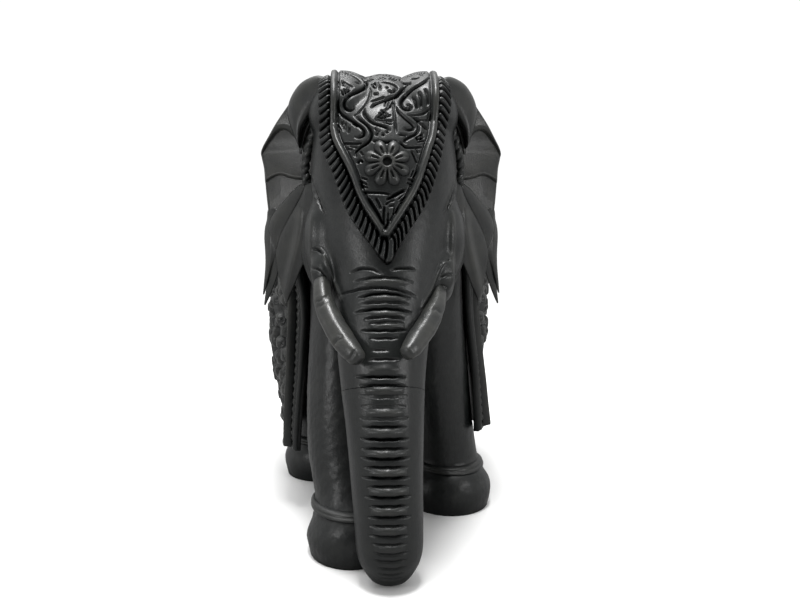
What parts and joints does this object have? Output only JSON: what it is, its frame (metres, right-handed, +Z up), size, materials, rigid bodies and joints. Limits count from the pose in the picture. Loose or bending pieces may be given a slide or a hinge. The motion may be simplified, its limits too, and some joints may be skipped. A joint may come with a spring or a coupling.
{
  "type": "carved elephant figurine",
  "caption": "Standing elephant carving with fanned ears, blunt tusks, ringed trunk, scrollwork headcloth, long back cloth with carved side panels, and ankle rings.",
  "frame": {"origin": "on the ground plane, below the centre of the figure's bounding box", "axes": "+Z up, +X towards the elephant's left side, -Y the way the elephant faces (trunk), +Y towards the tail"},
  "size_m": [0.088, 0.1629, 0.1508],
  "materials": {
    "ebony": "ebonised, rubbed to a satin polish",
    "dowel_beech": "plain turned dowel, hidden in the joints"
  },
  "bodies": {
    "root": {"body_block": "ebony", "head_block": "ebony", "trunk": "ebony", "left_ear": "ebony", "right_ear": "ebony", "left_tusk": "ebony", "right_tusk": "ebony", "headcloth": "ebony", "rosette": "ebony", "back_cloth": "ebony", "left_panel": "ebony", "right_panel": "ebony", "left_halter_cord": "ebony", "right_halter_cord": "ebony", "tail": "ebony", "front_left_anklet": "ebony", "front_right_anklet": "ebony", "rear_left_anklet": "ebony", "rear_right_anklet": "ebony", "neck_dowel_upper": "dowel_beech", "neck_dowel_lower": "dowel_beech", "trunk_dowel": "dowel_beech", "left_ear_dowel": "dowel_beech", "right_ear_dowel": "dowel_beech"}
  },
  "joints": []
}
